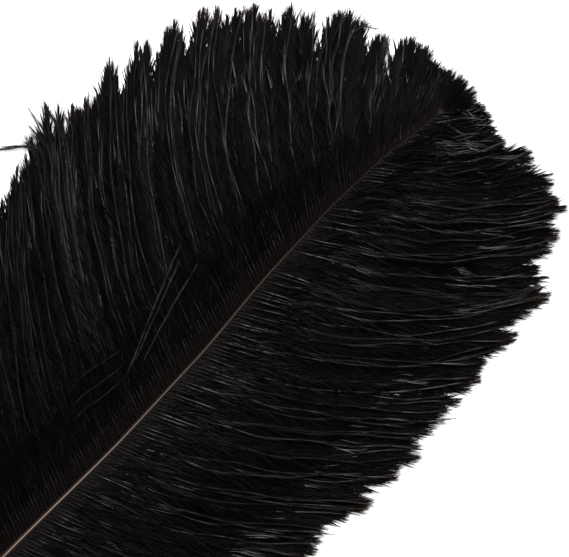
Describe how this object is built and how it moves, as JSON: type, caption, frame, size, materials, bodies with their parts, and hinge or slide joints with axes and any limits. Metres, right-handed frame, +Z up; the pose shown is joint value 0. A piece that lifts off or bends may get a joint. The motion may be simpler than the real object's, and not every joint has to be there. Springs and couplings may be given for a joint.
{
  "type": "ostrich feather",
  "caption": "Black dyed ostrich plume lying face up: a thin curved shaft with soft, forward swept barbs in pointed locks and a bare quill.",
  "frame": {"origin": "on the table, under the centre of the feather's bounding box", "axes": "+Y from the quill to the tip, +Z up from the table, +X towards the narrower vane"},
  "size_m": [0.188, 0.399, 0.018],
  "materials": {
    "barbs": "soft black dyed feather barbs with a faint sheen, dark brown where they thin out at the points",
    "shaft": "smooth dark brown horn, slightly glossy"
  },
  "bodies": {
    "root": {"feather": "barbs"}
  },
  "joints": []
}
